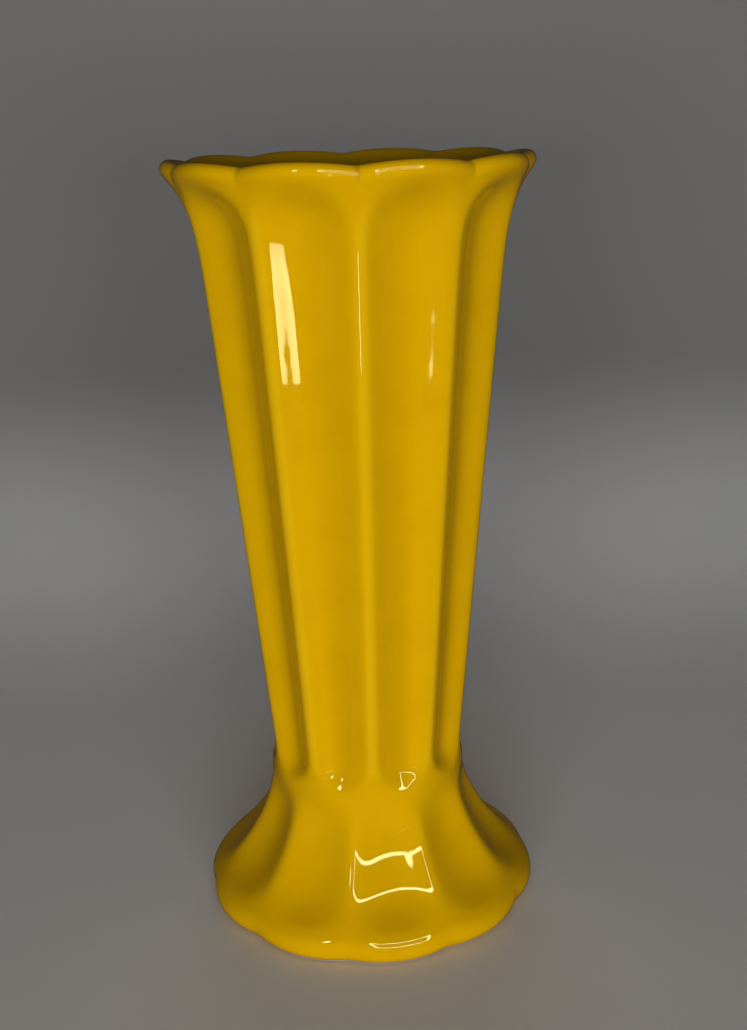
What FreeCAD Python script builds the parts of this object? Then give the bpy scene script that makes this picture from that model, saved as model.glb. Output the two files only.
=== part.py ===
import FreeCAD, Part
import math
import os
from collections import namedtuple

# Fluted trumpet vase, slip-cast in two pieces and glazed. Millimetres and degrees.
# The origin is the middle of the ring it stands on, with +Z up and its front along -Y.
# Outside sizes are those of the glazed vase, and the clay lies under the glaze.

# Whole vase
vase_height = 254.0
waist_height = 50.0
waist_radius = 33.5
flute_count = 10

# Coats and seams
glaze_thickness = 0.4
slip_thickness = 0.4

# Foot: a rolled lip, a flared neck above it and the dry ring that it stands on
foot_radius = 56.6
foot_roll_radius = 5.8
foot_roll_top_angle = 47.0
foot_glaze_line_angle = -66.0
foot_petal_bulge = 1.8
foot_ridge_round = 2.4
foot_notch_round = 1.8
foot_flute_low_gap = 1.0
foot_flute_low_arch = 6.5
foot_flute_top_gap = 0.5
foot_flute_top_arch = 7.0
foot_flute_fade = 16.0
foot_flute_depth_share = 0.085
foot_wall = 6.0
standing_ring_width = 4.3
standing_ring_bevel = 0.8
foot_turn = -9.0

# Trumpet: a tapered stem, a flared lip, and the floor inside
stem_rise = 10.0
stem_radius = 33.7
flare_length = 37.9
throat_radius = 48.0
lip_radius = 56.5
lip_thickness = 5.6
lip_tilt = 28.0
lip_petal_bulge = 2.1
lip_petal_rise = 1.3
trumpet_ridge_round = 2.7
trumpet_gathering_rise = 45.0
lip_notch_round = 0.6
trumpet_flute_low_gap = 1.0
trumpet_flute_low_arch = 7.5
trumpet_flute_top_gap = 1.9
trumpet_flute_top_arch = 12.0
trumpet_flute_depth_share = 0.125
trumpet_wall = 5.2
floor_thickness = 6.0
floor_corner_radius = 7.0
floor_flat_width = 3.0
trumpet_turn = 2.25

# Softness of the shapes
arch_softness_share = 0.12
inner_flute_share = 0.65
row_crowding_share = 0.75
gathering_share = 0.6

# Numbers of control points round a flute and of control rows along each stretch
points_per_flute = 16
trumpet_rows = 24
foot_rows = 11
roll_rows = 7
lip_rows = 7
corner_rows = 4

# Sizes worked out from the ones above
trumpet_base_height = waist_height + slip_thickness
floor_height = trumpet_base_height + floor_thickness
lip_round = lip_thickness / 2
lip_centre_radius = lip_radius - lip_round
lip_centre_height = vase_height - lip_petal_rise - lip_round
flare_end_radius = lip_centre_radius + lip_round * math.cos(math.radians(lip_tilt))
flare_end_height = lip_centre_height - lip_round * math.sin(math.radians(lip_tilt))
throat_height = flare_end_height - flare_length
stem_height = waist_height + stem_rise
trumpet_flute_top_height = flare_end_height - trumpet_flute_top_gap
roll_centre_radius = foot_radius - foot_roll_radius
roll_top_radius = roll_centre_radius + foot_roll_radius * math.cos(math.radians(foot_roll_top_angle))
roll_top_height = foot_roll_radius + foot_roll_radius * math.sin(math.radians(foot_roll_top_angle))
glaze_line_radius = roll_centre_radius + foot_roll_radius * math.cos(math.radians(foot_glaze_line_angle))
ring_outer_radius = glaze_line_radius - standing_ring_bevel

# One level of a fluted surface: its ridge, how deep and how open the flutes are there, how far
# the petals between the ridges stand out and up, how the pattern is turned about +Z, how closely
# the control points gather at the ridges, and how round the ridges are
Row = namedtuple("Row", "height radius depth opening bulge rise turn gather blunt")


def across_flute(azimuth, row):
    """Share of the way from a ridge, 0, to the middle of a flute, 1, rounded over the ridge."""
    pitch = 360.0 / flute_count
    place = ((azimuth - row.turn) / pitch) % 1.0
    share = 1.0 - abs(2.0 * place - 1.0)
    rounding = row.blunt * flute_count / (math.pi * row.radius)
    rise = math.hypot(share, rounding) - rounding
    rise = rise / (math.hypot(1.0, rounding) - rounding)
    return rise * (2.0 - rise)


def opened(distance, arch):
    """How wide a flute is at a distance from its arched end: 0 there, 1 where it is full."""
    share = distance / arch
    if share < 0.0:
        return 2.0 * share
    return 1.0 - (1.0 - min(share, 1.0)) ** 2


def hollowed(opening, across):
    """Share of the flute's depth at a place across it, soft where the arch ends."""
    inside = opening - 1.0 + across
    return (inside + math.hypot(inside, arch_softness_share)) / 2


def ring_points(row):
    """Control points of one level, all the way round."""
    points = []
    count = flute_count * points_per_flute
    for index in range(count):
        azimuth = 360.0 * index / count
        phase = math.radians((azimuth - row.turn) * flute_count)
        azimuth -= row.gather * math.degrees(math.sin(phase)) / flute_count
        across = across_flute(azimuth, row)
        radius = row.radius - row.depth * hollowed(row.opening, across) + row.bulge * across
        height = row.height + row.rise * across
        angle = math.radians(azimuth)
        points.append(FreeCAD.Vector(radius * math.sin(angle), -radius * math.cos(angle), height))
    return points


def crowded_shares(count):
    """Shares from 0 to 1 that lie closer together near both ends."""
    shares = []
    for index in range(count + 1):
        share = index / count
        shares.append(share - row_crowding_share * math.sin(2 * math.pi * share) / (2 * math.pi))
    return shares


def slant(profile, height):
    """How much wider a wall is along the level than square to its slope."""
    step = glaze_thickness
    slope = (profile(height + step) - profile(height - step)) / (2 * step)
    return math.hypot(1.0, slope)


def foot_ridge(height):
    """Ridge radius of the flared neck, which leaves the rolled lip without a corner."""
    rise = waist_height - roll_top_height
    spread = roll_top_radius - waist_radius
    power = math.tan(math.radians(foot_roll_top_angle)) * rise / spread
    share = max((waist_height - height) / rise, 0.0)
    return waist_radius + spread * share ** power


def foot_row(height, radius, petal):
    low = opened(height - roll_top_height - foot_flute_low_gap, foot_flute_low_arch)
    top = opened(waist_height - foot_flute_top_gap - height, foot_flute_top_arch)
    fade = min((waist_height - height) / foot_flute_fade, 1.0)
    depth = foot_flute_depth_share * radius * fade ** 2 * (3.0 - 2.0 * fade)
    gather = gathering_share * (1.0 - height / waist_height)
    blunt = foot_ridge_round + (foot_notch_round - foot_ridge_round) * petal
    return Row(height, radius, depth, min(low, top), foot_petal_bulge * petal, 0.0, foot_turn,
               gather, blunt)


def foot_outside():
    """Rows of the glazed foot, from the glaze line round the rolled lip and up to the waist."""
    rows = []
    sweep = foot_roll_top_angle - foot_glaze_line_angle
    for index in range(roll_rows):
        share = index / roll_rows
        angle = math.radians(foot_glaze_line_angle + sweep * share)
        radius = roll_centre_radius + foot_roll_radius * math.cos(angle)
        height = foot_roll_radius + foot_roll_radius * math.sin(angle)
        rows.append(foot_row(height, radius, 1.0 - share ** 2))
    for share in crowded_shares(foot_rows):
        height = roll_top_height + (waist_height - roll_top_height) * share
        rows.append(foot_row(height, foot_ridge(height), 0.0))
    return rows


def foot_hollow():
    """Rows of the hollow under the foot, from the standing ring up to the waist."""
    rows = []
    for share in crowded_shares(foot_rows):
        height = waist_height * share
        radius = foot_ridge(height) - foot_wall * slant(foot_ridge, height)
        row = foot_row(height, min(radius, ring_outer_radius - standing_ring_width), 0.0)
        rows.append(row._replace(depth=row.depth * inner_flute_share))
    return rows


def trumpet_ridge(height):
    """Ridge radius of the trumpet: a cone that swells to the waist below and flares to the lip."""
    taper = (throat_radius - stem_radius) / (throat_height - stem_height)
    radius = stem_radius + taper * (height - stem_height)
    if height < stem_height:
        swell = waist_radius - stem_radius + taper * stem_rise
        radius += swell * ((stem_height - height) / stem_rise) ** 2
    if height > throat_height:
        rise = flare_end_height - throat_height
        spread = flare_end_radius - throat_radius - taper * rise
        power = (math.tan(math.radians(lip_tilt)) - taper) * rise / spread
        radius += spread * ((height - throat_height) / rise) ** power
    return radius


def trumpet_row(height, radius):
    low = opened(height - trumpet_base_height - trumpet_flute_low_gap, trumpet_flute_low_arch)
    top = opened(trumpet_flute_top_height - height, trumpet_flute_top_arch)
    depth = trumpet_flute_depth_share * trumpet_ridge(min(height, throat_height))
    petal_start = trumpet_flute_top_height - trumpet_flute_top_arch / 2
    petal_rise = flare_end_height - petal_start
    petal = min(max((height - petal_start) / petal_rise, 0.0), 1.0) ** 2
    gather_rise = max(height - trumpet_base_height, 0.0)
    gather = gathering_share * min(gather_rise / trumpet_gathering_rise, 1.0)
    blunt = trumpet_ridge_round + (lip_notch_round - trumpet_ridge_round) * petal
    return Row(height, radius, depth, min(low, top), lip_petal_bulge * petal,
               lip_petal_rise * petal, trumpet_turn, gather, blunt)


def trumpet_outside():
    """Rows of the glazed trumpet, from the waist up and over the lip to its inner edge."""
    rows = []
    for share in crowded_shares(trumpet_rows)[:-1]:
        height = trumpet_base_height + (flare_end_height - trumpet_base_height) * share
        rows.append(trumpet_row(height, trumpet_ridge(height)))
    for index in range(lip_rows):
        angle = math.radians(180.0 * index / (lip_rows - 1) - lip_tilt)
        radius = lip_centre_radius + lip_round * math.cos(angle)
        height = lip_centre_height + lip_round * math.sin(angle)
        rows.append(Row(height, radius, 0.0, 1.0, lip_petal_bulge, lip_petal_rise, trumpet_turn,
                        gathering_share, lip_notch_round))
    return rows


def trumpet_inside():
    """Rows of the clay inside, from below the lip down the wall and on to the flat of the floor."""
    rows = []
    corner_height = floor_height + floor_corner_radius
    for share in reversed(crowded_shares(trumpet_rows)):
        height = corner_height + (flare_end_height - corner_height) * share
        radius = trumpet_ridge(height) - trumpet_wall * slant(trumpet_ridge, height)
        row = trumpet_row(height, radius)
        rows.append(row._replace(depth=row.depth * inner_flute_share))
    wall = rows[-1]
    for index in range(1, corner_rows + 1):
        angle = math.radians(90.0 * index / corner_rows)
        radius = wall.radius - floor_corner_radius * (1.0 - math.cos(angle))
        height = corner_height - floor_corner_radius * math.sin(angle)
        depth = wall.depth * (1.0 - index / corner_rows)
        rows.append(wall._replace(height=height, radius=radius, depth=depth))
    flat = rows[-1]
    rows.append(flat._replace(radius=flat.radius - floor_flat_width))
    return rows


def shifted(rings, distance):
    """The same net of points moved square to its own surface."""
    moved = []
    last = len(rings) - 1
    for level, points in enumerate(rings):
        above = rings[min(level + 1, last)]
        below = rings[max(level - 1, 0)]
        moved_points = []
        for index, point in enumerate(points):
            around = points[(index + 1) % len(points)] - points[index - 1]
            along = above[index] - below[index]
            normal = around.cross(along).normalize()
            moved_points.append(point + normal * distance)
        moved.append(moved_points)
    return moved


def levelled(points, height):
    """The same ring of points laid flat at one height."""
    return [FreeCAD.Vector(point.x, point.y, height) for point in points]


def loop(points):
    """Smooth closed edge over one ring of points."""
    curve = Part.BSplineCurve()
    knots = [float(knot) for knot in range(len(points) + 1)]
    curve.buildFromPolesMultsKnots(points, [1] * len(knots), knots, True, 3)
    return curve.toShape()


def tube(rings):
    """Smooth open-ended surface over a net of points."""
    columns = [list(column) for column in zip(*rings)]
    around = [float(knot) for knot in range(len(columns) + 1)]
    along = [float(knot) for knot in range(len(rings) - 2)]
    along_repeats = [4] + [1] * (len(along) - 2) + [4]
    surface = Part.BSplineSurface()
    surface.buildFromPolesMultsKnots(columns, [1] * len(around), along_repeats, around, along,
                                     True, False, 3, 3)
    return surface.toShape()


def disc(points):
    return Part.Face(Part.Wire([loop(points)]))


def washer(outer, inner):
    wires = [Part.Wire([loop(outer)]), Part.Wire([loop(inner)])]
    return Part.makeFace(wires, "Part::FaceMakerBullseye")


def band(first, second):
    return Part.makeRuledSurface(loop(first), loop(second))


def closed(faces):
    """One solid from faces that meet edge to edge."""
    shell = Part.makeShell(faces)
    shell.sewShape()
    solid = Part.makeSolid(Part.Shell(shell.Faces))
    if solid.Volume < 0.0:
        solid.reverse()
    return solid


def outside_nets():
    """Nets of the glaze's outside and of the clay under it, each split at the waist."""
    foot_net = [ring_points(row) for row in foot_outside()]
    glaze_net = foot_net + [ring_points(row) for row in trumpet_outside()]
    clay_net = shifted(glaze_net, -glaze_thickness)
    foot_clay = clay_net[:len(foot_net)]
    trumpet_clay = clay_net[len(foot_net):]
    foot_clay[-1] = levelled(foot_clay[-1], waist_height)
    trumpet_clay[0] = levelled(trumpet_clay[0], trumpet_base_height)
    return glaze_net, foot_clay, trumpet_clay


def inside_nets(glaze_net, trumpet_clay):
    """Nets of the clay inside the trumpet and of the glaze on it, from the lip to the floor."""
    clay_net = [trumpet_clay[-1]] + [ring_points(row) for row in trumpet_inside()]
    lining_net = shifted(clay_net, glaze_thickness)
    lining_net[0] = glaze_net[-1]
    return clay_net, lining_net


def make_foot(foot_clay, hollow):
    """Flared foot with a rolled, scalloped lip, hollow below and open at the top."""
    ring_row = foot_outside()[0]._replace(radius=ring_outer_radius)
    ring_edge = levelled(ring_points(ring_row), 0.0)
    return closed([
        tube(foot_clay),
        band(foot_clay[0], ring_edge),
        washer(ring_edge, hollow[0]),
        tube(hollow),
        washer(foot_clay[-1], hollow[-1]),
    ])


def make_slip(foot_clay, trumpet_clay, hollow):
    """Thin ring of slip that sticks the trumpet on the foot."""
    upper_hollow = levelled(hollow[-1], trumpet_base_height)
    return closed([
        washer(foot_clay[-1], hollow[-1]),
        band(foot_clay[-1], trumpet_clay[0]),
        washer(trumpet_clay[0], upper_hollow),
        band(hollow[-1], upper_hollow),
    ])


def make_trumpet(trumpet_clay, inside_clay):
    """Fluted trumpet with its floor and its flared, scalloped lip."""
    return closed([
        tube(trumpet_clay),
        disc(trumpet_clay[0]),
        tube(inside_clay),
        disc(inside_clay[-1]),
    ])


def make_outer_glaze(glaze_net, foot_clay, trumpet_clay):
    """Glaze from the foot's glaze line up over the waist and the lip to the lip's inner edge."""
    return closed([
        tube(glaze_net),
        band(glaze_net[0], foot_clay[0]),
        tube(foot_clay),
        band(foot_clay[-1], trumpet_clay[0]),
        tube(trumpet_clay),
        band(glaze_net[-1], trumpet_clay[-1]),
    ])


def make_inner_glaze(inside_clay, lining):
    """Glaze that lines the trumpet, from the lip's inner edge down the wall and over the floor."""
    return closed([
        tube(inside_clay),
        disc(inside_clay[-1]),
        tube(lining),
        disc(lining[-1]),
        band(inside_clay[0], lining[0]),
    ])


def build():
    os.makedirs("parts", exist_ok=True)
    glaze_net, foot_clay, trumpet_clay = outside_nets()
    inside_clay, lining = inside_nets(glaze_net, trumpet_clay)
    hollow = [ring_points(row) for row in foot_hollow()]
    pieces = {
        "foot": make_foot(foot_clay, hollow),
        "waist_slip": make_slip(foot_clay, trumpet_clay, hollow),
        "trumpet": make_trumpet(trumpet_clay, inside_clay),
        "outer_glaze": make_outer_glaze(glaze_net, foot_clay, trumpet_clay),
        "inner_glaze": make_inner_glaze(inside_clay, lining),
    }
    for name, solid in pieces.items():
        solid.exportStep("parts/" + name + ".step")
        print(name, "valid", solid.isValid(), "closed", solid.isClosed(), "faces", len(solid.Faces),
              "volume", round(solid.Volume))


build()
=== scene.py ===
"""Looks of a fluted ceramic trumpet vase, standing on a plain pale studio sweep."""

import logging
import math
from collections.abc import Callable
from dataclasses import dataclass, field, replace
from enum import Enum

import bpy
import numpy as np
from mathutils import Matrix, Vector


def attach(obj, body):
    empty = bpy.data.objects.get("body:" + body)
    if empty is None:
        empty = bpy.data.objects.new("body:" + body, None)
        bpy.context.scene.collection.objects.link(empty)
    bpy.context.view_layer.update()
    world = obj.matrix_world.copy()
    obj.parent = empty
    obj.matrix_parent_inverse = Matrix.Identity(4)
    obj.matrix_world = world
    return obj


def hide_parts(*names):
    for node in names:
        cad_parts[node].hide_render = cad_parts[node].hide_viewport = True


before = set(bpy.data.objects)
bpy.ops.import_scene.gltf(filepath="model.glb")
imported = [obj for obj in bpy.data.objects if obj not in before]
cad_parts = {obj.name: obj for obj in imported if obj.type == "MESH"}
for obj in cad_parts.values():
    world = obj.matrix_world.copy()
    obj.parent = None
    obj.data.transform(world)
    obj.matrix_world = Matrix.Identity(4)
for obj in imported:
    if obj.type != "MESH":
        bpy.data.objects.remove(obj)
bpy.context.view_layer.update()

log = logging.getLogger("vase")

MM = 0.001
TINY = 1e-9
SRGB_KNEE = 0.04045
SRGB_SLOPE = 12.92
SRGB_OFFSET = 0.055
SRGB_POWER = 2.4
POOL = "pool"
CLAY_NODES = ("foot", "trumpet", "waist_slip")

# A colour mix node's sockets: how much of the second colour, the two colours, and the result.
MIX_SHARE = 0
MIX_UNDER = 6
MIX_OVER = 7
MIX_RESULT = 2


class Coat(Enum):
    """The two skins of the glaze coat."""

    FACE = "face"
    BACK = "back"


class Seen(Enum):
    """What a lamp does: light surfaces softly, or show as a reflection in the gloss."""

    DIFFUSE = "diffuse"
    GLOSSY = "glossy"


@dataclass(frozen=True)
class Level:
    """One level of a fluted surface, in millimetres and degrees.

    height and radius place its ridge, depth and opening say how deep and how wide the flutes are
    there, bulge and rise how far the petals between the ridges stand out and up, turn how far the
    pattern is turned about the vase's axis, gather how closely points gather at the ridges, and
    blunt how round the ridges are.
    """

    height: float
    radius: float
    depth: float
    opening: float
    bulge: float
    rise: float
    turn: float
    gather: float
    blunt: float


def linear_colour(code: str) -> tuple[float, float, float, float]:
    """Turn an sRGB hex code into the linear colour that shaders take.

    Args:
        code: Six hex digits, with or without a leading hash.

    Returns:
        Red, green, blue and an alpha of one.
    """
    digits = code.lstrip("#")
    linear = []
    for place in (0, 2, 4):
        channel = int(digits[place:place + 2], 16) / 255.0
        if channel <= SRGB_KNEE:
            linear.append(channel / SRGB_SLOPE)
        else:
            linear.append(((channel + SRGB_OFFSET) / (1.0 + SRGB_OFFSET)) ** SRGB_POWER)
    return (linear[0], linear[1], linear[2], 1.0)


def add_node(tree: bpy.types.NodeTree, kind: str, settings: dict | None = None,
             inputs: dict | None = None) -> bpy.types.Node:
    """Add a node to a tree, set it up and wire it.

    Args:
        tree: The node tree that gets the node.
        kind: Blender's name of the node type.
        settings: Property names and their values.
        inputs: Input names or numbers, each with a plain value or the output to link.

    Returns:
        The new node.
    """
    node = tree.nodes.new(kind)
    for name, value in (settings or {}).items():
        setattr(node, name, value)
    for key, value in (inputs or {}).items():
        if isinstance(value, bpy.types.NodeSocket):
            tree.links.new(value, node.inputs[key])
        else:
            node.inputs[key].default_value = value
    return node


@dataclass(frozen=True)
class FlutedForm:
    """The vase's fluted shape under its glaze and over it, in millimetres and degrees."""

    height: float = 254.0
    flutes: int = 10
    gathering_share: float = 0.6
    gathering_rise: float = 45.0
    waist_height: float = 50.0
    waist_radius: float = 33.5
    slip: float = 0.4
    glaze: float = 0.4
    foot_radius: float = 56.6
    roll_radius: float = 5.8
    roll_top_angle: float = 47.0
    glaze_line_angle: float = -66.0
    foot_bulge: float = 1.8
    foot_ridge_round: float = 2.4
    foot_notch_round: float = 1.8
    foot_low_gap: float = 1.0
    foot_low_arch: float = 6.5
    foot_top_gap: float = 0.5
    foot_top_arch: float = 7.0
    foot_fade: float = 16.0
    foot_depth_share: float = 0.085
    foot_turn: float = -9.0
    stem_rise: float = 10.0
    stem_radius: float = 33.7
    flare_length: float = 37.9
    throat_radius: float = 48.0
    lip_radius: float = 56.5
    lip_thickness: float = 5.6
    lip_tilt: float = 28.0
    lip_bulge: float = 2.1
    lip_rise: float = 1.3
    trumpet_ridge_round: float = 2.7
    lip_notch_round: float = 0.6
    low_gap: float = 1.0
    low_arch: float = 7.5
    top_gap: float = 1.9
    top_arch: float = 12.0
    trumpet_depth_share: float = 0.125
    wall: float = 5.2
    floor: float = 6.0
    floor_corner: float = 7.0
    floor_flat: float = 3.0
    trumpet_turn: float = 2.25
    arch_softness_share: float = 0.12
    inner_flute_share: float = 0.65
    crowding_share: float = 0.75
    points_per_flute: int = 16
    trumpet_rows: int = 24
    foot_rows: int = 11
    roll_rows: int = 7
    lip_rows: int = 7
    corner_rows: int = 4

    @property
    def roll_centre(self) -> float:
        """Radius at which the foot's rolled lip has its centre."""
        return self.foot_radius - self.roll_radius

    @property
    def roll_top(self) -> float:
        """Height at which the foot's rolled lip turns into its neck."""
        return self.roll_radius * (1.0 + math.sin(math.radians(self.roll_top_angle)))

    @property
    def throat_height(self) -> float:
        """Height at which the trumpet's flare starts."""
        return self.flare_end[1] - self.flare_length

    @property
    def lip_round(self) -> float:
        """Radius of the rounded edge of the trumpet's lip."""
        return self.lip_thickness / 2

    @property
    def flare_end(self) -> tuple[float, float]:
        """Find where the trumpet's flare meets its rounded lip.

        Returns:
            The radius and the height.
        """
        tilt = math.radians(self.lip_tilt)
        radius = self.lip_radius - self.lip_round + self.lip_round * math.cos(tilt)
        height = self.height - self.lip_rise - self.lip_round - self.lip_round * math.sin(tilt)
        return radius, height

    def across(self, azimuths: np.ndarray, level: Level) -> np.ndarray:
        """Find how far each azimuth lies from a ridge towards the middle of a flute.

        Args:
            azimuths: Degrees about the axis.
            level: The level whose radius sets how sharp the ridge is.

        Returns:
            Shares from 0 on a ridge to 1 in the middle of a flute, rounded over the ridge.
        """
        place = ((azimuths - level.turn) / (360.0 / self.flutes)) % 1.0
        share = 1.0 - np.abs(2.0 * place - 1.0)
        rounding = level.blunt * self.flutes / (math.pi * level.radius)
        rise = np.hypot(share, rounding) - rounding
        rise = rise / (math.hypot(1.0, rounding) - rounding)
        return rise * (2.0 - rise)

    def hollowed(self, opening: float, across: np.ndarray) -> np.ndarray:
        """Find the share of a flute's depth at places across it.

        Args:
            opening: How wide the flute is at this level, 1 from ridge to ridge.
            across: Shares of the way from a ridge to the flute's middle.

        Returns:
            Shares of the depth, soft where the arch of the flute ends.
        """
        inside = opening - 1.0 + across
        return (inside + np.hypot(inside, self.arch_softness_share)) / 2

    @staticmethod
    def opened(distance: float, arch: float) -> float:
        """Find how wide a flute is near its arched end.

        Args:
            distance: Distance from the end, into the flute.
            arch: Length over which the arch opens.

        Returns:
            0 at the end, 1 where the flute is full, and less than 0 beyond the end.
        """
        share = distance / arch
        if share < 0.0:
            return 2.0 * share
        return 1.0 - (1.0 - min(share, 1.0)) ** 2

    def crowded_shares(self, count: int) -> list[float]:
        """Spread shares from 0 to 1 so that they lie closer together near both ends.

        Args:
            count: Number of steps.

        Returns:
            One more share than steps.
        """
        turns = [2 * math.pi * step / count for step in range(count + 1)]
        return [(turn - self.crowding_share * math.sin(turn)) / (2 * math.pi) for turn in turns]

    def ring(self, level: Level) -> np.ndarray:
        """Lay out the control points of one level.

        Args:
            level: The level.

        Returns:
            Points all the way round, in millimetres.
        """
        count = self.flutes * self.points_per_flute
        azimuths = 360.0 * np.arange(count) / count
        phases = np.radians((azimuths - level.turn) * self.flutes)
        azimuths = azimuths - level.gather * np.degrees(np.sin(phases)) / self.flutes
        across = self.across(azimuths, level)
        hollow = level.depth * self.hollowed(level.opening, across)
        radius = level.radius - hollow + level.bulge * across
        turns = np.radians(azimuths)
        height = level.height + level.rise * across
        return np.stack([radius * np.sin(turns), -radius * np.cos(turns), height], axis=-1)

    def slant(self, profile: Callable[[float], float], height: float) -> float:
        """Find how much wider a wall is along the level than square to its slope.

        Args:
            profile: Function from a height to the ridge's radius.
            height: Where the wall is measured.

        Returns:
            A factor of one or more.
        """
        slope = (profile(height + self.glaze) - profile(height - self.glaze)) / (2 * self.glaze)
        return math.hypot(1.0, slope)

    def foot_ridge(self, height: float) -> float:
        """Find the ridge radius of the foot's flared neck.

        Args:
            height: Where it is measured.

        Returns:
            The radius, which leaves the rolled lip without a corner.
        """
        angle = math.radians(self.roll_top_angle)
        top_radius = self.roll_centre + self.roll_radius * math.cos(angle)
        rise = self.waist_height - self.roll_top
        spread = top_radius - self.waist_radius
        power = math.tan(angle) * rise / spread
        return self.waist_radius + spread * max((self.waist_height - height) / rise, 0.0) ** power

    def foot_level(self, height: float, radius: float, petal: float) -> Level:
        """Lay out one level of the foot.

        Args:
            height: Height of the level.
            radius: Its ridge radius.
            petal: Share of the lip's petals that stands out there.

        Returns:
            The level.
        """
        low = self.opened(height - self.roll_top - self.foot_low_gap, self.foot_low_arch)
        top = self.opened(self.waist_height - self.foot_top_gap - height, self.foot_top_arch)
        gather = self.gathering_share * (1.0 - height / self.waist_height)
        blunt = self.foot_ridge_round + (self.foot_notch_round - self.foot_ridge_round) * petal
        fade = min((self.waist_height - height) / self.foot_fade, 1.0)
        depth = self.foot_depth_share * radius * fade ** 2 * (3.0 - 2.0 * fade)
        return Level(height, radius, depth, min(low, top), self.foot_bulge * petal, 0.0,
                     self.foot_turn, gather, blunt)

    def foot_levels(self) -> list[Level]:
        """Lay out the glazed foot.

        Returns:
            Its levels, from the glaze line round the rolled lip and up to the waist.
        """
        levels = []
        for row in range(self.roll_rows):
            share = row / self.roll_rows
            sweep = self.roll_top_angle - self.glaze_line_angle
            angle = math.radians(self.glaze_line_angle + sweep * share)
            radius = self.roll_centre + self.roll_radius * math.cos(angle)
            height = self.roll_radius * (1.0 + math.sin(angle))
            levels.append(self.foot_level(height, radius, 1.0 - share ** 2))
        for share in self.crowded_shares(self.foot_rows):
            height = self.roll_top + (self.waist_height - self.roll_top) * share
            levels.append(self.foot_level(height, self.foot_ridge(height), 0.0))
        return levels

    def trumpet_ridge(self, height: float) -> float:
        """Find the ridge radius of the trumpet's outside.

        Args:
            height: Where it is measured.

        Returns:
            The radius of a cone that swells to the waist below and flares to the lip.
        """
        stem_height = self.waist_height + self.stem_rise
        throat_height = self.throat_height
        end_radius, end_height = self.flare_end
        taper = (self.throat_radius - self.stem_radius) / (throat_height - stem_height)
        radius = self.stem_radius + taper * (height - stem_height)
        if height < stem_height:
            swell = self.waist_radius - self.stem_radius + taper * self.stem_rise
            radius += swell * ((stem_height - height) / self.stem_rise) ** 2
        if height > throat_height:
            rise = end_height - throat_height
            spread = end_radius - self.throat_radius - taper * rise
            power = (math.tan(math.radians(self.lip_tilt)) - taper) * rise / spread
            radius += spread * ((height - throat_height) / rise) ** power
        return radius

    def trumpet_level(self, height: float, radius: float) -> Level:
        """Lay out one level of the trumpet, for its outside or its inside.

        Args:
            height: Height of the level.
            radius: Its ridge radius.

        Returns:
            The level.
        """
        base = self.waist_height + self.slip
        top_end = self.flare_end[1] - self.top_gap
        low = self.opened(height - base - self.low_gap, self.low_arch)
        top = self.opened(top_end - height, self.top_arch)
        depth_height = min(height, self.throat_height)
        depth = self.trumpet_depth_share * self.trumpet_ridge(depth_height)
        petal_start = top_end - self.top_arch / 2
        petal_rise = self.flare_end[1] - petal_start
        petal = min(max((height - petal_start) / petal_rise, 0.0), 1.0) ** 2
        gather = self.gathering_share * min(max(height - base, 0.0) / self.gathering_rise, 1.0)
        blunting = self.lip_notch_round - self.trumpet_ridge_round
        blunt = self.trumpet_ridge_round + blunting * petal
        return Level(height, radius, depth, min(low, top), self.lip_bulge * petal,
                     self.lip_rise * petal, self.trumpet_turn, gather, blunt)

    def trumpet_levels(self) -> list[Level]:
        """Lay out the glazed trumpet.

        Returns:
            Its levels, from the waist over the lip to the lip's inner edge.
        """
        levels = []
        base = self.waist_height + self.slip
        end_height = self.flare_end[1]
        for share in self.crowded_shares(self.trumpet_rows)[:-1]:
            height = base + (end_height - base) * share
            levels.append(self.trumpet_level(height, self.trumpet_ridge(height)))
        for row in range(self.lip_rows):
            angle = math.radians(180.0 * row / (self.lip_rows - 1) - self.lip_tilt)
            radius = self.lip_radius - self.lip_round + self.lip_round * math.cos(angle)
            height = self.height - self.lip_rise - self.lip_round + self.lip_round * math.sin(angle)
            levels.append(Level(height, radius, 0.0, 1.0, self.lip_bulge, self.lip_rise,
                                self.trumpet_turn, self.gathering_share, self.lip_notch_round))
        return levels

    def inside_levels(self) -> list[Level]:
        """Lay out the clay inside the trumpet.

        Returns:
            Its levels, from below the lip down the wall and on to the flat of the floor.
        """
        levels = []
        floor_height = self.waist_height + self.slip + self.floor
        corner_height = floor_height + self.floor_corner
        end_height = self.flare_end[1]
        for share in reversed(self.crowded_shares(self.trumpet_rows)):
            height = corner_height + (end_height - corner_height) * share
            radius = self.trumpet_ridge(height) - self.wall * self.slant(self.trumpet_ridge, height)
            level = self.trumpet_level(height, radius)
            levels.append(replace(level, depth=level.depth * self.inner_flute_share))
        wall = levels[-1]
        for row in range(1, self.corner_rows + 1):
            angle = math.radians(90.0 * row / self.corner_rows)
            levels.append(replace(
                wall,
                radius=wall.radius - self.floor_corner * (1.0 - math.cos(angle)),
                height=corner_height - self.floor_corner * math.sin(angle),
                depth=wall.depth * (1.0 - row / self.corner_rows),
            ))
        levels.append(replace(levels[-1], radius=levels[-1].radius - self.floor_flat))
        return levels

    @staticmethod
    def shifted(net: np.ndarray, distance: float) -> np.ndarray:
        """Move a net of points square to its own surface.

        Args:
            net: Rings of points.
            distance: How far, outwards where positive.

        Returns:
            The moved net.
        """
        around = np.roll(net, -1, axis=1) - np.roll(net, 1, axis=1)
        along = np.empty_like(net)
        along[1:-1] = net[2:] - net[:-2]
        along[0] = net[1] - net[0]
        along[-1] = net[-1] - net[-2]
        normal = np.cross(around, along)
        normal /= np.linalg.norm(normal, axis=-1, keepdims=True)
        return net + normal * distance


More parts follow.
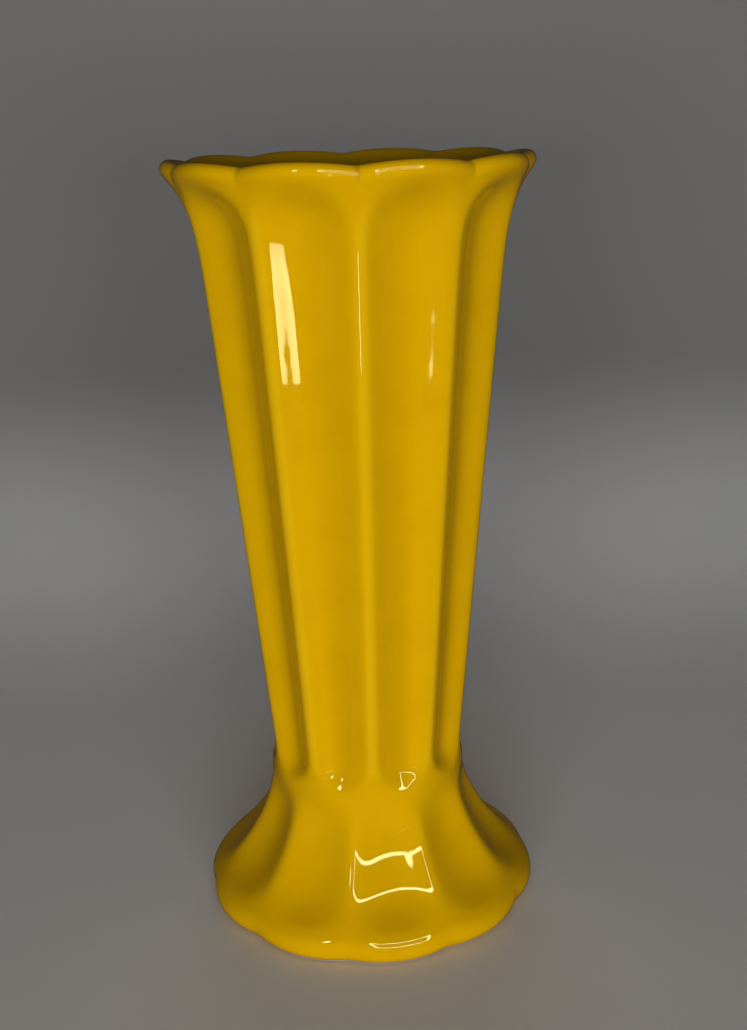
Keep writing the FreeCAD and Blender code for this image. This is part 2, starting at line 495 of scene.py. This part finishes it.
def spline_weights(count: int, places: np.ndarray, closed: bool) -> np.ndarray:
    """Weigh control rows for points along a uniform cubic spline.

    Args:
        count: Number of control rows.
        places: Where the points lie, counted in control rows.
        closed: Whether the rows go round and meet.

    Returns:
        One row of weights for each point.
    """
    weights = np.zeros((len(places), count))
    for row, place in enumerate(places):
        start = math.floor(place)
        share = place - start
        basis = (
            (1 - share) ** 3 / 6,
            (3 * share ** 3 - 6 * share ** 2 + 4) / 6,
            (-3 * share ** 3 + 3 * share ** 2 + 3 * share + 1) / 6,
            share ** 3 / 6,
        )
        for offset, weight in enumerate(basis):
            index = start - 1 + offset
            if closed:
                weights[row, index % count] += weight
            elif index < 0:
                weights[row, 0] += 2 * weight
                weights[row, 1] -= weight
            elif index >= count:
                weights[row, count - 1] += 2 * weight
                weights[row, count - 2] -= weight
            else:
                weights[row, index] += weight
    return weights


@dataclass
class GlazeCoat:
    """The one coat of glaze outside and inside the vase, as a thin closed shell."""

    form: FlutedForm
    name: str = "glaze_coat"
    samples_round: int = 640
    samples_per_row: dict[Coat, int] = field(default_factory=lambda: {Coat.FACE: 3, Coat.BACK: 1})
    face_inset: float = 0.03
    back_gap: float = 0.02
    pool_reach_mm: float = 3.0
    pool_depth_mm: float = 0.9
    least_reach_share: float = 0.3
    least_radius_mm: float = 9.0

    def control_net(self) -> np.ndarray:
        """Lay out the coat's own surface.

        Returns:
            Rings of control points, from the foot's glaze line to the flat of the floor.
        """
        form = self.form
        outside = [form.ring(level) for level in form.foot_levels() + form.trumpet_levels()]
        clay = form.shifted(np.array(outside), -form.glaze)
        inside = np.concatenate([clay[-1:], [form.ring(level) for level in form.inside_levels()]])
        lining = form.shifted(inside, form.glaze)[1:]
        return np.concatenate([np.array(outside), lining])

    def skin(self, net: np.ndarray, coat: Coat) -> np.ndarray:
        """Sample a smooth surface over a control net.

        Args:
            net: Rings of control points.
            coat: Which of the two skins it is, for how finely it is sampled.

        Returns:
            Rings of surface points.
        """
        rows, count, _ = net.shape
        steps = self.samples_per_row[coat]
        along = np.linspace(0.0, rows - 1.0, (rows - 1) * steps + 1)
        around = np.arange(self.samples_round) * count / self.samples_round
        along_weights = spline_weights(rows, along, closed=False)
        around_weights = spline_weights(count, around, closed=True)
        crossed = np.tensordot(along_weights, net, axes=(1, 0))
        return np.einsum("ack,bc->abk", crossed, around_weights, optimize=True)

    def pooling(self, rings: np.ndarray) -> np.ndarray:
        """Find where the melted glaze pooled, in hollows, and where it ran off, over edges.

        Args:
            rings: Rings of surface points.

        Returns:
            For each point, from -1 on a sharp edge to 1 in a tight hollow.
        """
        around = np.roll(rings, -1, axis=1) - np.roll(rings, 1, axis=1)
        along = np.roll(rings, -1, axis=0) - np.roll(rings, 1, axis=0)
        normal = np.cross(around, along)
        normal /= np.maximum(np.linalg.norm(normal, axis=-1, keepdims=True), TINY)
        columns = rings.shape[1]
        spacing = 2 * math.pi * self.form.throat_radius / columns
        step = max(round(self.pool_reach_mm / spacing), 1)
        beside = (np.roll(rings, step, axis=1) + np.roll(rings, -step, axis=1)) / 2 - rings
        across = np.roll(rings, step, axis=1) - rings
        reach = np.linalg.norm(across, axis=-1) / self.pool_reach_mm
        reach = np.maximum(reach, self.least_reach_share)
        bow = np.einsum("abk,abk->ab", beside, normal) / reach ** 2
        radius = np.maximum(np.hypot(rings[..., 0], rings[..., 1]), self.least_radius_mm)
        round_bow = self.pool_reach_mm ** 2 / (2 * radius)
        return np.clip((bow + round_bow) / self.pool_depth_mm, -1.0, 1.0)

    def build(self) -> bpy.types.Object:
        """Make the coat's mesh, with the pooling as an attribute for its glaze.

        Returns:
            The coat.
        """
        net = self.control_net()
        face = self.skin(self.form.shifted(net, -self.face_inset), Coat.FACE)
        back = self.skin(self.form.shifted(net, self.back_gap - self.form.glaze), Coat.BACK)[::-1]
        rings = np.concatenate([face, back])
        rows, count, _ = rings.shape
        floor_face = len(face) - 1
        verts = rings.reshape(-1, 3)
        faces = []
        for row in range(rows):
            if row == floor_face:
                continue
            here = row * count
            there = ((row + 1) % rows) * count
            for index in range(count):
                after = (index + 1) % count
                faces.append((here + index, here + after, there + after, there + index))
        middle_face = verts[floor_face * count:(floor_face + 1) * count].mean(axis=0)
        middle_back = verts[(floor_face + 1) * count:(floor_face + 2) * count].mean(axis=0)
        verts = np.concatenate([verts, [middle_face, middle_back]])
        for index in range(count):
            after = (index + 1) % count
            first = floor_face * count
            second = (floor_face + 1) * count
            faces.append((first + index, first + after, len(verts) - 2))
            faces.append((second + after, second + index, len(verts) - 1))
        mesh = bpy.data.meshes.new(self.name)
        mesh.from_pydata((verts * MM).tolist(), [], faces)
        mesh.validate()
        mesh.shade_smooth()
        pool = mesh.attributes.new(POOL, "FLOAT", "POINT")
        pool.data.foreach_set("value", np.append(self.pooling(rings).ravel(), [0.0, 0.0]))
        coat = bpy.data.objects.new(self.name, mesh)
        bpy.context.scene.collection.objects.link(coat)
        return coat


def per_metre(pattern_mm: float) -> float:
    """Texture scale, in repeats per metre, of a pattern whose real size is in millimetres."""
    return 1.0 / (pattern_mm * MM)


@dataclass(frozen=True)
class YellowGlaze:
    """Opaque gloss earthenware glaze, poured and sprayed over white clay, then fired.

    It is a layer of coloured glass. The eye sees a mirror-like top that is slightly wavy, as fired
    glass is, over a deep yellow that is browner where it pooled and paler where it ran thin, with
    faint clouds from the sprayed coats, and a few pinholes that catch the light.
    """

    name: str = "yellow_gloss_glaze"
    body: str = "#D8A600"
    pooled: str = "#A87800"
    thinned: str = "#E6BA14"
    cloud: str = "#D09E00"
    speck: str = "#6E4A08"
    mirror: str = "#FFFCB2"
    ior: float = 1.52
    roughness: float = 0.025
    roughness_spread: float = 0.02
    gloss_from: float = 0.3
    gloss_to: float = 0.7
    cloud_mm: float = 16.0
    cloud_detail: float = 3.0
    cloud_from: float = 0.42
    cloud_to: float = 0.72
    cloud_share: float = 0.6
    pool_from: float = 0.3
    pool_share: float = 0.5
    edge_from: float = -0.4
    edge_share: float = 0.3
    relief_detail: float = 1.0
    ripple_mm: float = 11.0
    ripple_depth_mm: float = 0.08
    peel_mm: float = 3.2
    peel_depth_mm: float = 0.0035
    pinhole_spacing_mm: float = 11.0
    pinhole_mm: float = 0.45
    pinhole_depth_mm: float = 0.12
    speck_spacing_mm: float = 17.0
    speck_mm: float = 0.3

    def dots(self, tree: bpy.types.NodeTree, place: bpy.types.NodeSocket, spacing_mm: float,
             dot_mm: float) -> bpy.types.NodeSocket:
        """Add sparse round dots of a real size.

        Args:
            tree: The material's node tree.
            place: Surface coordinates in metres.
            spacing_mm: Usual distance between dots.
            dot_mm: Radius of a dot.

        Returns:
            1 in the middle of a dot, falling to 0 at its edge.
        """
        cells = add_node(tree, "ShaderNodeTexVoronoi", inputs={
            "Vector": place, "Scale": per_metre(spacing_mm)})
        return add_node(tree, "ShaderNodeMapRange", {"interpolation_type": "SMOOTHSTEP"}, {
            "Value": cells.outputs["Distance"], "From Min": 0.0, "From Max": dot_mm / spacing_mm,
            "To Min": 1.0, "To Max": 0.0}).outputs["Result"]

    def colour(self, tree: bpy.types.NodeTree, place: bpy.types.NodeSocket,
               clouds: bpy.types.NodeSocket) -> bpy.types.NodeSocket:
        """Colour the glaze: body, sprayed clouds, pools, thin edges and specks.

        Args:
            tree: The material's node tree.
            place: Surface coordinates in metres.
            clouds: The pattern of the sprayed coats.

        Returns:
            The colour.
        """
        sprayed = add_node(tree, "ShaderNodeMapRange", inputs={
            "Value": clouds, "From Min": self.cloud_from, "From Max": self.cloud_to,
            "To Min": 0.0, "To Max": self.cloud_share})
        body = add_node(tree, "ShaderNodeMix", {"data_type": "RGBA"}, {
            MIX_SHARE: sprayed.outputs["Result"], MIX_UNDER: linear_colour(self.body),
            MIX_OVER: linear_colour(self.cloud)})
        pool = add_node(tree, "ShaderNodeAttribute", {"attribute_name": POOL}).outputs["Fac"]
        deep = add_node(tree, "ShaderNodeMapRange", inputs={
            "Value": pool, "From Min": self.pool_from, "From Max": 1.0,
            "To Min": 0.0, "To Max": self.pool_share})
        pooled = add_node(tree, "ShaderNodeMix", {"data_type": "RGBA"}, {
            MIX_SHARE: deep.outputs["Result"], MIX_UNDER: body.outputs[MIX_RESULT],
            MIX_OVER: linear_colour(self.pooled)})
        edge = add_node(tree, "ShaderNodeMapRange", inputs={
            "Value": pool, "From Min": self.edge_from, "From Max": -1.0,
            "To Min": 0.0, "To Max": self.edge_share})
        thinned = add_node(tree, "ShaderNodeMix", {"data_type": "RGBA"}, {
            MIX_SHARE: edge.outputs["Result"], MIX_UNDER: pooled.outputs[MIX_RESULT],
            MIX_OVER: linear_colour(self.thinned)})
        specks = self.dots(tree, place, self.speck_spacing_mm, self.speck_mm)
        speckled = add_node(tree, "ShaderNodeMix", {"data_type": "RGBA"}, {
            MIX_SHARE: specks, MIX_UNDER: thinned.outputs[MIX_RESULT],
            MIX_OVER: linear_colour(self.speck)})
        return speckled.outputs[MIX_RESULT]

    def relief(self, tree: bpy.types.NodeTree,
               place: bpy.types.NodeSocket) -> bpy.types.NodeSocket:
        """Shape the fired surface: slow ripple, fine orange peel and pinholes.

        Args:
            tree: The material's node tree.
            place: Surface coordinates in metres.

        Returns:
            The bent normal.
        """
        slow = add_node(tree, "ShaderNodeTexNoise", inputs={
            "Vector": place, "Scale": per_metre(self.ripple_mm), "Detail": self.relief_detail})
        ripple = add_node(tree, "ShaderNodeBump", inputs={
            "Height": slow.outputs["Fac"], "Distance": self.ripple_depth_mm * MM})
        fine = add_node(tree, "ShaderNodeTexNoise", inputs={
            "Vector": place, "Scale": per_metre(self.peel_mm), "Detail": self.relief_detail})
        peel = add_node(tree, "ShaderNodeBump", inputs={
            "Height": fine.outputs["Fac"], "Distance": self.peel_depth_mm * MM,
            "Normal": ripple.outputs["Normal"]})
        holes = self.dots(tree, place, self.pinhole_spacing_mm, self.pinhole_mm)
        return add_node(tree, "ShaderNodeBump", {"invert": True}, {
            "Height": holes, "Distance": self.pinhole_depth_mm * MM,
            "Normal": peel.outputs["Normal"]}).outputs["Normal"]

    def build(self) -> bpy.types.Material:
        """Make the material.

        Returns:
            The material.
        """
        material = bpy.data.materials.new(self.name)
        material.use_nodes = True
        tree = material.node_tree
        tree.nodes.clear()
        place = add_node(tree, "ShaderNodeTexCoord").outputs["Object"]
        clouds = add_node(tree, "ShaderNodeTexNoise", inputs={
            "Vector": place, "Scale": per_metre(self.cloud_mm),
            "Detail": self.cloud_detail}).outputs["Fac"]
        gloss = add_node(tree, "ShaderNodeMapRange", inputs={
            "Value": clouds, "From Min": self.gloss_from, "From Max": self.gloss_to,
            "To Min": self.roughness, "To Max": self.roughness + self.roughness_spread})
        shader = add_node(tree, "ShaderNodeBsdfPrincipled", inputs={
            "Base Color": self.colour(tree, place, clouds), "Roughness": gloss.outputs["Result"],
            "IOR": self.ior, "Specular Tint": linear_colour(self.mirror),
            "Normal": self.relief(tree, place)})
        add_node(tree, "ShaderNodeOutputMaterial", inputs={"Surface": shader.outputs["BSDF"]})
        return material


@dataclass(frozen=True)
class BiscuitClay:
    """Biscuit-fired white casting clay, left bare where the vase stands and inside its foot.

    It is dry, matt and slightly chalky, with a fine grain and cream clouds from the firing, and
    it turns greyer in its lowest fraction of a millimetre, where it stands on the floor.
    """

    name: str = "biscuit_clay"
    body: str = "#E4DAC8"
    warm: str = "#D9C7A8"
    low_grey: str = "#B4ADA0"
    roughness: float = 0.85
    cloud_mm: float = 22.0
    cloud_detail: float = 4.0
    grain_mm: float = 0.5
    grain_detail: float = 2.0
    grain_depth_mm: float = 0.03
    low_grey_height_mm: float = 0.8
    low_grey_share: float = 0.7

    def build(self) -> bpy.types.Material:
        """Make the material.

        Returns:
            The material.
        """
        material = bpy.data.materials.new(self.name)
        material.use_nodes = True
        tree = material.node_tree
        tree.nodes.clear()
        place = add_node(tree, "ShaderNodeTexCoord").outputs["Object"]
        clouds = add_node(tree, "ShaderNodeTexNoise", inputs={
            "Vector": place, "Scale": per_metre(self.cloud_mm), "Detail": self.cloud_detail})
        fired = add_node(tree, "ShaderNodeMix", {"data_type": "RGBA"}, {
            MIX_SHARE: clouds.outputs["Fac"], MIX_UNDER: linear_colour(self.body),
            MIX_OVER: linear_colour(self.warm)})
        height = add_node(tree, "ShaderNodeSeparateXYZ", inputs={0: place}).outputs["Z"]
        # Greyer towards the very bottom, where the foot meets the floor.
        low = add_node(tree, "ShaderNodeMapRange", inputs={
            "Value": height, "From Min": 0.0, "From Max": self.low_grey_height_mm * MM,
            "To Min": self.low_grey_share, "To Max": 0.0})
        colour = add_node(tree, "ShaderNodeMix", {"data_type": "RGBA"}, {
            MIX_SHARE: low.outputs["Result"], MIX_UNDER: fired.outputs[MIX_RESULT],
            MIX_OVER: linear_colour(self.low_grey)})
        grain = add_node(tree, "ShaderNodeTexNoise", inputs={
            "Vector": place, "Scale": per_metre(self.grain_mm), "Detail": self.grain_detail})
        bump = add_node(tree, "ShaderNodeBump", inputs={
            "Height": grain.outputs["Fac"], "Distance": self.grain_depth_mm * MM})
        shader = add_node(tree, "ShaderNodeBsdfPrincipled", inputs={
            "Base Color": colour.outputs[MIX_RESULT], "Roughness": self.roughness,
            "Normal": bump.outputs["Normal"]})
        add_node(tree, "ShaderNodeOutputMaterial", inputs={"Surface": shader.outputs["BSDF"]})
        return material


@dataclass(frozen=True)
class SoftBox:
    """A rectangular studio lamp, in metres, aimed at a point."""

    name: str
    place: tuple[float, float, float]
    target: tuple[float, float, float]
    width: float
    length: float
    watts: float
    spread: float
    seen: Seen

    def build(self) -> bpy.types.Object:
        """Make the lamp.

        Returns:
            The lamp.
        """
        data = bpy.data.lights.new(self.name, "AREA")
        data.shape = "RECTANGLE"
        data.size = self.width
        data.size_y = self.length
        data.energy = self.watts
        data.spread = math.radians(self.spread)
        lamp = bpy.data.objects.new(self.name, data)
        lamp.location = self.place
        lamp.visible_glossy = self.seen is Seen.GLOSSY
        lamp.visible_diffuse = self.seen is Seen.DIFFUSE
        direction = Vector(self.target) - Vector(self.place)
        lamp.rotation_euler = direction.to_track_quat("-Z", "Y").to_euler()
        bpy.context.scene.collection.objects.link(lamp)
        return lamp


@dataclass(frozen=True)
class FrameLamp:
    """A rectangular loop of light, such as a framed panel lamp, in metres and degrees."""

    azimuth: float = 19.0
    elevation: float = 27.0
    distance: float = 0.8
    half_width: float = 0.30
    half_height: float = 0.16
    strip: float = 0.035
    radiance: float = 17.0
    target: tuple[float, float, float] = (0.0, 0.0, 0.1)

    def build(self) -> list[bpy.types.Object]:
        """Make the four strips of the loop.

        Returns:
            One lamp for each strip.
        """
        azimuth, elevation = math.radians(self.azimuth), math.radians(self.elevation)
        toward = Vector((math.sin(azimuth) * math.cos(elevation),
                         -math.cos(azimuth) * math.cos(elevation), math.sin(elevation)))
        centre = Vector(self.target) + toward * self.distance
        side = Vector((math.cos(azimuth), math.sin(azimuth), 0.0))
        up = toward.cross(side)
        strips = (
            (centre + up * self.half_height, 2 * self.half_width, self.strip),
            (centre - up * self.half_height, 2 * self.half_width, self.strip),
            (centre + side * self.half_width, self.strip, 2 * self.half_height),
            (centre - side * self.half_width, self.strip, 2 * self.half_height),
        )
        lamps = []
        for number, (place, width, height) in enumerate(strips):
            data = bpy.data.lights.new("frame_strip_%d" % number, "AREA")
            data.shape = "RECTANGLE"
            data.size = width
            data.size_y = height
            data.energy = self.radiance * math.pi * width * height
            lamp = bpy.data.objects.new(data.name, data)
            turn = Matrix((side, up, toward)).transposed()
            lamp.matrix_world = Matrix.Translation(place) @ turn.to_4x4()
            lamp.visible_diffuse = False
            bpy.context.scene.collection.objects.link(lamp)
            lamps.append(lamp)
        return lamps


@dataclass(frozen=True)
class Studio:
    """Floor, backdrop, lamps and camera, in metres and degrees."""

    camera_distance: float = 0.42836
    camera_height: float = 0.26712
    camera_pitch: float = 16.94
    camera_roll: float = -1.68
    camera_pan: float = 0.61
    focal_pixels: float = 1333.85
    photo_height: int = 1030
    sensor: float = 36.0
    paper_colour: str = "#DCDCDC"
    # Grey painted up the backdrop as shade, where less lamp light reaches it.
    painted_shade_colour: str = "#908F8D"
    paper_roughness: float = 0.9
    paper_gloss: float = 0.2
    painted_shade_height: float = 0.115
    air_colour: str = "#6E6C69"
    air_light: float = 0.02
    front: float = 0.9
    depth: float = 0.15
    half_width: float = 0.5
    curve: float = 0.45
    curve_steps: int = 24
    top: float = 1.8

    def build_camera(self) -> bpy.types.Object:
        """Make the camera at the photograph's viewing angle.

        Returns:
            The camera.
        """
        data = bpy.data.cameras.new("camera")
        data.sensor_width = self.sensor
        data.lens = self.focal_pixels / self.photo_height * self.sensor
        camera = bpy.data.objects.new("camera", data)
        pitch = math.radians(self.camera_pitch)
        roll = math.radians(self.camera_roll)
        pan = math.radians(self.camera_pan)
        ahead = Vector((math.sin(pan) * math.cos(pitch), math.cos(pan) * math.cos(pitch),
                        -math.sin(pitch)))
        level = Vector((math.cos(pan), -math.sin(pan), 0.0))
        above = level.cross(ahead)
        right = math.cos(roll) * level + math.sin(roll) * above
        up = -math.sin(roll) * level + math.cos(roll) * above
        turn = Matrix((right, up, -ahead)).transposed()
        camera.matrix_world = (Matrix.Translation((0.0, -self.camera_distance, self.camera_height))
                               @ turn.to_4x4())
        bpy.context.scene.collection.objects.link(camera)
        bpy.context.scene.camera = camera
        return camera

    def paper(self) -> bpy.types.Material:
        """Make matt backdrop paper, see-through from its back so that every side can be seen.

        Returns:
            The material, which is pale on the floor and greyer up the backdrop, where the grey is
            painted shade.
        """
        material = bpy.data.materials.new("backdrop_paper")
        material.use_nodes = True
        tree = material.node_tree
        tree.nodes.clear()
        surface = add_node(tree, "ShaderNodeNewGeometry")
        height = add_node(tree, "ShaderNodeSeparateXYZ", inputs={0: surface.outputs["Position"]})
        # The paper turns from pale to grey with height: painted shade up the backdrop.
        share = add_node(tree, "ShaderNodeMapRange", {"interpolation_type": "SMOOTHSTEP"}, {
            "Value": height.outputs["Z"], "From Min": 0.0, "From Max": self.painted_shade_height})
        shade = add_node(tree, "ShaderNodeMix", {"data_type": "RGBA"}, {
            MIX_SHARE: share.outputs["Result"], MIX_UNDER: linear_colour(self.paper_colour),
            MIX_OVER: linear_colour(self.painted_shade_colour)})
        face = add_node(tree, "ShaderNodeBsdfPrincipled", inputs={
            "Base Color": shade.outputs[MIX_RESULT], "Roughness": self.paper_roughness,
            "Specular IOR Level": self.paper_gloss})
        back = add_node(tree, "ShaderNodeBsdfTransparent")
        both = add_node(tree, "ShaderNodeMixShader", inputs={
            0: surface.outputs["Backfacing"], 1: face.outputs["BSDF"], 2: back.outputs["BSDF"]})
        add_node(tree, "ShaderNodeOutputMaterial", inputs={"Surface": both.outputs["Shader"]})
        return material

    def build_sweep(self) -> bpy.types.Object:
        """Make the floor that curves up into the backdrop.

        It isn't mirrored in the gloss and casts no shadow, so the lamp behind it reaches the vase.

        Returns:
            The sweep.
        """
        profile = [(-self.front, 0.0), (self.depth, 0.0)]
        for step in range(1, self.curve_steps + 1):
            angle = math.pi / 2 * step / self.curve_steps
            profile.append((self.depth + self.curve * math.sin(angle),
                            self.curve * (1.0 - math.cos(angle))))
        profile.append((self.depth + self.curve, self.top))
        verts = [(side * self.half_width, y, z) for y, z in profile for side in (-1.0, 1.0)]
        faces = [(2 * i, 2 * i + 1, 2 * i + 3, 2 * i + 2) for i in range(len(profile) - 1)]
        mesh = bpy.data.meshes.new("sweep")
        mesh.from_pydata(verts, [], faces)
        mesh.shade_smooth()
        sweep = bpy.data.objects.new("sweep", mesh)
        bpy.context.scene.collection.objects.link(sweep)
        mesh.materials.append(self.paper())
        sweep.visible_shadow = False
        sweep.visible_glossy = False
        return sweep

    def build_lamps(self) -> list[bpy.types.Object]:
        """Make the lamps: broad soft ones that light, and small ones that glint in the gloss.

        Returns:
            The lamps.
        """
        lamps = [
            SoftBox("key", place=(0.0, -1.4, 0.17), target=(0.0, 0.0, 0.13), width=1.2, length=0.3,
                    watts=6.1, spread=100.0, seen=Seen.DIFFUSE),
            SoftBox("top", place=(0.0, -0.5, 1.3), target=(0.0, 0.0, 0.1), width=0.8, length=0.8,
                    watts=0.8, spread=180.0, seen=Seen.DIFFUSE),
            SoftBox("back", place=(0.0, 1.5, 0.17), target=(0.0, 0.0, 0.13), width=1.2, length=0.3,
                    watts=3.0, spread=100.0, seen=Seen.DIFFUSE),
            SoftBox("back_low", place=(0.0, 0.5, 0.05), target=(0.0, 0.0, 0.2), width=0.1,
                    length=0.055, watts=0.006, spread=60.0, seen=Seen.GLOSSY),
            SoftBox("left", place=(-0.346, -0.624, 0.463), target=(0.0, 0.0, 0.1), width=0.06,
                    length=0.12, watts=0.4, spread=180.0, seen=Seen.GLOSSY),
            SoftBox("low", place=(0.018, -0.5, 0.05), target=(0.0, 0.0, 0.2), width=0.04,
                    length=0.055, watts=0.0028, spread=34.0, seen=Seen.GLOSSY),
        ]
        return [lamp.build() for lamp in lamps] + FrameLamp().build()

    def build_world(self) -> None:
        """Make the faint even light, and the grey that the camera sees past the paper."""
        world = bpy.data.worlds.new("studio_air")
        world.use_nodes = True
        tree = world.node_tree
        tree.nodes.clear()
        path = add_node(tree, "ShaderNodeLightPath")
        seen = add_node(tree, "ShaderNodeBackground", inputs={
            "Color": linear_colour(self.air_colour), "Strength": 1.0})
        air = add_node(tree, "ShaderNodeBackground", inputs={
            "Color": (1.0, 1.0, 1.0, 1.0), "Strength": self.air_light})
        both = add_node(tree, "ShaderNodeMixShader", inputs={
            0: path.outputs["Is Camera Ray"], 1: air.outputs["Background"],
            2: seen.outputs["Background"]})
        add_node(tree, "ShaderNodeOutputWorld", inputs={"Surface": both.outputs["Shader"]})
        bpy.context.scene.world = world


def main() -> None:
    """Build the vase's looks and the studio."""
    logging.basicConfig(level=logging.INFO)
    scene = bpy.context.scene
    scene.view_settings.view_transform = "Standard"
    coat = GlazeCoat(FlutedForm()).build()
    coat.data.materials.append(YellowGlaze().build())
    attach(coat, "root")
    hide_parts("outer_glaze", "inner_glaze")
    log.info("glaze coat: %d faces", len(coat.data.polygons))
    clay = BiscuitClay().build()
    for node in CLAY_NODES:
        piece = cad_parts[node]
        piece.data.materials.clear()
        piece.data.materials.append(clay)
        log.info("%s: biscuit clay on %d faces", node, len(piece.data.polygons))
    studio = Studio()
    studio.build_camera()
    studio.build_sweep()
    studio.build_world()
    lamps = studio.build_lamps()
    log.info("studio: %d lamps", len(lamps))


if __name__ == "__main__":
    main()
